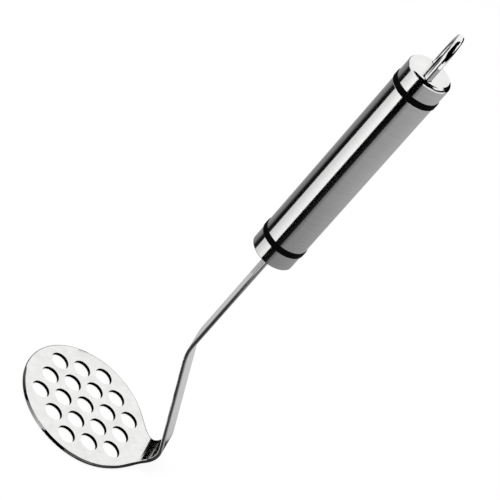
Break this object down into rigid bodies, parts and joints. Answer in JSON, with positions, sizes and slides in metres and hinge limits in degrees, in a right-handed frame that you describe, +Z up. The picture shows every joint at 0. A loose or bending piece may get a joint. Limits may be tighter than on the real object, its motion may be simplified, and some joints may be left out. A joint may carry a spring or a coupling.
{
  "type": "potato masher",
  "caption": "Hand potato masher: flat perforated steel disc on a cranked strip shank, round brushed-steel tube handle with black seal rings, an end cap and a wire hanging loop.",
  "frame": {"origin": "centre of the perforated disc on its flat underside", "axes": "+Z up out of the disc towards the handle, +X from the disc's centre to its neck, Y across the disc"},
  "size_m": [0.0802, 0.0732, 0.2914],
  "materials": {
    "blade_steel": "satin stainless sheet with rounded edges",
    "handle_steel": "stainless tube brushed round the handle",
    "loop_steel": "polished stainless wire",
    "ring_rubber": "black, smooth, slightly crowned",
    "bush_plastic": "moulded black",
    "inner_steel": "plain turned steel"
  },
  "bodies": {
    "root": {"masher_blade": "blade_steel", "lower_ferrule": "handle_steel", "lower_ring": "ring_rubber", "lower_bush": "bush_plastic", "handle_tube": "handle_steel", "upper_ring": "ring_rubber", "upper_bush": "bush_plastic", "top_cap": "handle_steel", "hanging_loop": "loop_steel", "tie_rod": "inner_steel", "tang_rivets": "inner_steel"}
  },
  "joints": []
}
